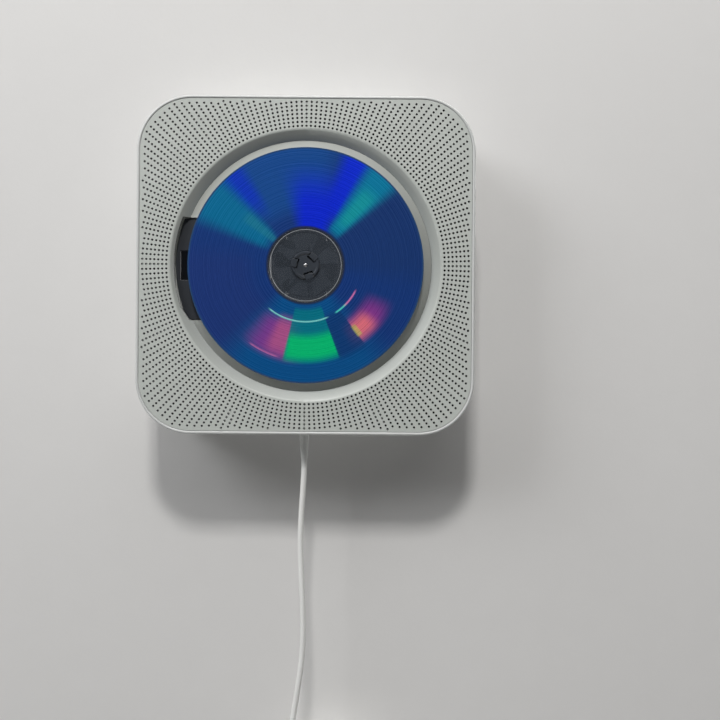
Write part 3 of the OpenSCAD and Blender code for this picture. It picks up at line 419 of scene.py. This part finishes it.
# Spindle. A flat motor with a plated can drives a black platter, whose boss
# centres the disc on three sprung claws.
can_steel = metal("can_steel", (0.45, 0.45, 0.46), (0.56, 0.56, 0.57), 0.25, 0.4)
finish(can_steel, "spindle_motor", "sled_motor", "spindle_shaft")
platter_black = moulded("platter_black", (0.030, 0.036, 0.046), (0.040, 0.047, 0.059), 0.3, 0.42,
                        3000, 0.000006)
finish(platter_black, "turntable", "hub_claw_a", "hub_claw_b", "hub_claw_c", edge=0.00015)


# Disc. A 120 mm polycarbonate disc: a clear middle with a raised stacking ring and a thin ring
# of painted highlight on its face, a metal layer whose wedges of split colour are painted reflection, and a
# clear edge.
def turned(name, outline, steps, body):
    """A closed outline of (radius, distance from the wall), turned about the disc's axis."""
    shape = bmesh.new()
    points = [shape.verts.new((r, -out, 0)) for r, out in outline]
    edges = [shape.edges.new((a, b)) for a, b in zip(points, points[1:] + points[:1])]
    bmesh.ops.spin(shape, geom=points + edges, cent=(0, 0, 0), axis=(0, 1, 0), angle=2 * pi,
                   steps=steps, use_merge=True)
    bmesh.ops.remove_doubles(shape, verts=shape.verts, dist=1e-7)
    bmesh.ops.recalc_face_normals(shape, faces=shape.faces)
    mesh = bpy.data.meshes.new(name)
    shape.to_mesh(mesh)
    shape.free()
    mesh.shade_smooth()
    mesh.set_sharp_from_angle(angle=radians(35))
    piece = bpy.data.objects.new(name, mesh)
    bpy.context.scene.collection.objects.link(piece)
    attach(piece, body)
    return piece


disc_low, disc_high = -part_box("disc")[1][1] + 0.0002, -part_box("disc")[0][1]
disc_r, bore_r, clear_r, metal_r = 0.060, 0.0075, 0.0192, 0.0592
chamfer = 0.00015
stack_in, stack_out, stack_h, stack_slope = 0.0178, 0.0185, 0.0002, 0.0001
disc_clear = turned("disc_clear", [
    (bore_r, disc_low + chamfer), (bore_r + chamfer, disc_low),
    (stack_in, disc_low), (stack_in + stack_slope, disc_low - stack_h),
    (stack_out - stack_slope, disc_low - stack_h), (stack_out, disc_low),
    (clear_r, disc_low), (clear_r, disc_high),
    (bore_r + chamfer, disc_high), (bore_r, disc_high - chamfer),
], 160, "disc")
disc_metal = turned("disc_metal", [
    (clear_r, disc_low), (metal_r, disc_low), (metal_r, disc_high), (clear_r, disc_high),
], 240, "disc")
disc_edge = turned("disc_edge", [
    (metal_r, disc_low), (disc_r - chamfer, disc_low), (disc_r, disc_low + chamfer),
    (disc_r, disc_high - chamfer), (disc_r - chamfer, disc_high), (metal_r, disc_high),
], 240, "disc")
# the thin ring on the disc's face is painted highlight, a grey ring lighter than the clear plastic round it
ring_in, ring_top, ring_out, ring_rise = 0.01800, 0.0181, 0.01825, 0.00003
disc_highlight_ring = turned("disc_highlight_ring", [
    (ring_in, disc_high - stack_h), (ring_out, disc_high - stack_h), (ring_out, disc_high),
    (ring_top, disc_high + ring_rise), (ring_in, disc_high),
], 160, "disc")
for layer in (disc_highlight_ring, disc_clear, disc_metal, disc_edge):
    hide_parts("disc")

clear_plastic = moulded("clear_plastic", (0.10, 0.12, 0.15), (0.13, 0.15, 0.18), 0.05, 0.09,
                        1200, 0.000001, Alpha=0.22, IOR=1.58)
disc_clear.data.materials.append(clear_plastic)
# painted highlight: light grey for the ring's lit edge
ring_highlight_paint = moulded("ring_highlight_paint", (0.30, 0.31, 0.33), (0.42, 0.43, 0.45), 0.15, 0.25, 900, 0.000001)
disc_highlight_ring.data.materials.append(ring_highlight_paint)
edge_plastic = moulded("edge_plastic", (0.02, 0.06, 0.16), (0.03, 0.08, 0.20), 0.12, 0.2, 900, 0.000001,
                       IOR=1.58)
disc_edge.data.materials.append(edge_plastic)

painted_rainbow = bpy.data.materials.new("disc_rainbow")
painted_rainbow.use_nodes = True
tree = painted_rainbow.node_tree
make, join = tree.nodes.new, tree.links.new


def sum_of(kind, *terms):
    """One Math node of that kind, fed by sockets or numbers."""
    node = make("ShaderNodeMath")
    node.operation = kind
    for socket, term in zip(node.inputs, terms):
        if isinstance(term, (int, float)):
            socket.default_value = term
        else:
            join(term, socket)
    return node.outputs[0]


def ramp(value, start, end, low=0.0, high=1.0):
    """A smooth step of a value from low to high between start and end."""
    node = make("ShaderNodeMapRange")
    node.interpolation_type = "SMOOTHSTEP"
    for socket, term in zip(node.inputs, (value, start, end, low, high)):
        if isinstance(term, (int, float)):
            socket.default_value = term
        else:
            join(term, socket)
    return node.outputs["Result"]


object_place = make("ShaderNodeTexCoord")
split = make("ShaderNodeSeparateXYZ")
join(object_place.outputs["Object"], split.inputs["Vector"])
across, up = split.outputs["X"], split.outputs["Z"]
radius = sum_of("SQRT", sum_of("ADD", sum_of("MULTIPLY", across, across), sum_of("MULTIPLY", up, up)))
angle = sum_of("ARCTAN2", up, across)
tracks = make("ShaderNodeTexNoise")
tracks.noise_dimensions = "1D"
tracks.inputs["Scale"].default_value = 1400
tracks.inputs["Detail"].default_value = 3
join(radius, tracks.inputs["W"])
fine_lines = ramp(tracks.outputs["Fac"], 0.3, 0.7, 0.95, 1.04)


def blend_in(below, tint, mask):
    """Lays one tint over the colour below through a mask."""
    node = make("ShaderNodeMix")
    node.data_type = "RGBA"
    node.inputs["B"].default_value = (*tint, 1)
    join(mask, node.inputs["Factor"])
    if isinstance(below, tuple):
        node.inputs["A"].default_value = (*below, 1)
    else:
        join(below, node.inputs["A"])
    return node.outputs["Result"]


def wedge(middle, half, soft, near, far, fade, strength=1.0):
    """A mask round a middle angle, its half width and soft edge in degrees, between two radii in mm."""
    off = sum_of("ABSOLUTE", sum_of("WRAP", sum_of("SUBTRACT", angle, radians(middle)), pi, -pi))
    inside = ramp(off, radians(half), radians(half + soft), strength, 0.0)
    outward = ramp(radius, (near - fade) / 1000, near / 1000)
    inward = ramp(radius, far / 1000, (far + fade) / 1000, 1.0, 0.0)
    return sum_of("MULTIPLY", sum_of("MULTIPLY", inside, outward), inward)


# each row: a tint, then the wedge's middle, half width, soft edge, near and far radius, fade and strength
# the wedges are painted reflection: the colours the metal layer splits from the light, with thin bright
# arcs of painted glint
colour = (0.010, 0.050, 0.24)
for tint, *shape in (
    ((0.010, 0.085, 0.34), 104, 20, 18, 34, 62, 12),
    ((0.012, 0.048, 0.20), 22, 18, 22, 20, 62, 5),
    ((0.016, 0.048, 0.23), 205, 24, 20, 34, 62, 12),
    ((0.003, 0.100, 0.32), 270, 30, 22, 20, 62, 6),
    ((0.003, 0.030, 0.82), 64, 2, 9, 34, 62, 10, 0.95),
    ((0.003, 0.026, 0.78), 80, 10, 20, 18, 30, 26),
    ((0.004, 0.045, 0.60), 130, 2, 8, 46, 60, 18),
    ((0.001, 0.20, 0.40), 146, 6, 10, 26, 60, 8, 0.9),
    ((0.020, 0.25, 0.36), 141, 2, 4, 22, 36, 6, 0.6),
    ((0.001, 0.26, 0.46), 49, 4, 8, 24, 60, 5, 0.9),
    ((0.010, 0.42, 0.42), 48, 2, 6, 32, 44, 10, 0.7),
    ((0.30, 0.05, 0.36), 248, 7, 16, 34, 45, 7, 0.8),
    ((0.62, 0.13, 0.32), 252, 3, 9, 34, 42, 9, 0.75),
    ((0.36, 0.05, 0.36), 318, 6, 16, 40, 43, 8, 0.8),
    ((1.00, 0.22, 0.26), 312, 4, 10, 41, 43, 7, 0.9),
    ((0.001, 0.22, 0.30), 274, 16.5, 1.5, 24, 48, 3, 0.95),
    ((0.001, 0.64, 0.22), 274.5, 15, 4, 39, 45, 6),
    ((0.006, 0.055, 0.22), 299, 8, 1, 30, 48, 5, 0.95),
    ((0.55, 0.65, 0.12), 308.5, 1.2, 1.2, 40, 44, 2, 0.6),
    ((0.30, 0.90, 0.85), 262, 28, 6, 28.5, 28.9, 0.35, 0.85),
    ((0.10, 0.80, 0.70), 310, 5, 4, 28.2, 28.7, 0.4, 0.9),
    ((0.90, 0.25, 0.60), 324, 6, 6, 28.2, 28.7, 0.4, 0.8),
    ((0.70, 0.20, 0.50), 244, 7, 4, 48.3, 48.7, 0.4, 0.7),
):
    colour = blend_in(colour, tint, wedge(*shape))
colour = blend_in(colour, (0.02, 0.03, 0.07), ramp(radius, 0.0196, 0.0204, 0.9, 0.0))
lined = make("ShaderNodeVectorMath")
lined.operation = "SCALE"
join(colour, lined.inputs[0])
join(fine_lines, lined.inputs["Scale"])
shader = tree.nodes["Principled BSDF"]
join(lined.outputs["Vector"], shader.inputs["Base Color"])
join(ramp(tracks.outputs["Fac"], 0.3, 0.7, 0.22, 0.34), shader.inputs["Roughness"])
shader.inputs["Metallic"].default_value = 0.15
shader.inputs["IOR"].default_value = 1.58
shader.inputs["Coat Weight"].default_value = 0.5
shader.inputs["Coat Roughness"].default_value = 0.06
shader.inputs["Anisotropic"].default_value = 0.6
disc_metal.data.materials.append(painted_rainbow)


# Pickup. A black sled runs on two steel rods, moved by a rack, a double gear
# and a small motor's pinion, and carries the coated objective lens.
finish(tray_black, "pickup_sled", edge=0.0002)
acetal = moulded("acetal", (0.62, 0.58, 0.48), (0.68, 0.64, 0.54), 0.35, 0.45, 2400, 0.000006)
finish(acetal, "sled_gear", "motor_pinion", "pickup_rack")
lens_coat = moulded("lens_coat", (0.25, 0.30, 0.62), (0.40, 0.36, 0.70), 0.02, 0.05, 900, 0.000001,
                    Transmission_Weight=0.7, IOR=1.5, Coat_Weight=1.0)
finish(lens_coat, "pickup_lens", crease=40)


# Speakers. Two small full-range drivers behind the lower corners of the
# grille: a pressed steel basket, a black paper cone and a ferrite magnet.
basket_steel = metal("basket_steel", (0.05, 0.05, 0.055), (0.08, 0.08, 0.085), 0.35, 0.5)
finish(basket_steel, "speaker_frames")
cone_paper = moulded("cone_paper", (0.010, 0.010, 0.011), (0.022, 0.022, 0.022), 0.7, 0.85, 2600, 0.00006)
finish(cone_paper, "speaker_cones")
ferrite = moulded("ferrite", (0.035, 0.035, 0.038), (0.06, 0.06, 0.064), 0.4, 0.6, 1800, 0.00002)
finish(ferrite, "speaker_magnets", edge=0.0003)


# Boards. Green laminate with black chips and capacitors on the right, and a
# narrow one under the top edge that carries the six switches.
laminate = moulded("laminate", (0.012, 0.10, 0.035), (0.018, 0.14, 0.05), 0.25, 0.4, 1400, 0.00001)
finish(laminate, "main_board", "button_board", edge=0.0001)
epoxy_black = moulded("epoxy_black", (0.012, 0.012, 0.013), (0.024, 0.024, 0.025), 0.4, 0.6,
                      2600, 0.00002)
finish(epoxy_black, "board_parts", "tact_switches", edge=0.0002)
finish(zinc, "board_screws", edge=0.0001)


# Buttons. Six white keys in the top wall, each with a flange that stops it
# from falling out and a stem that works its switch.
key_white = moulded("key_white", (0.68, 0.695, 0.675), (0.73, 0.745, 0.725), 0.36, 0.46, 2600, 0.000006)
finish(key_white, "button_power", "button_volume_down", "button_volume_up",
       "button_previous", "button_play", "button_next", edge=0.0004)


# Sockets and pull switch. A black headphone socket in the bottom wall, and a
# sprung plunger in a black guide that the lead pulls down to start the disc.
finish(epoxy_black, "headphone_jack", "pull_switch", edge=0.0002)
finish(case_white, "cord_bushing", edge=0.0003)
finish(tray_black, "pull_guide", edge=0.0002)
finish(acetal, "pull_plunger", edge=0.0003)
spring_steel = metal("spring_steel", (0.5, 0.5, 0.51), (0.62, 0.62, 0.63), 0.2, 0.3)
finish(spring_steel, "pull_spring", crease=60)
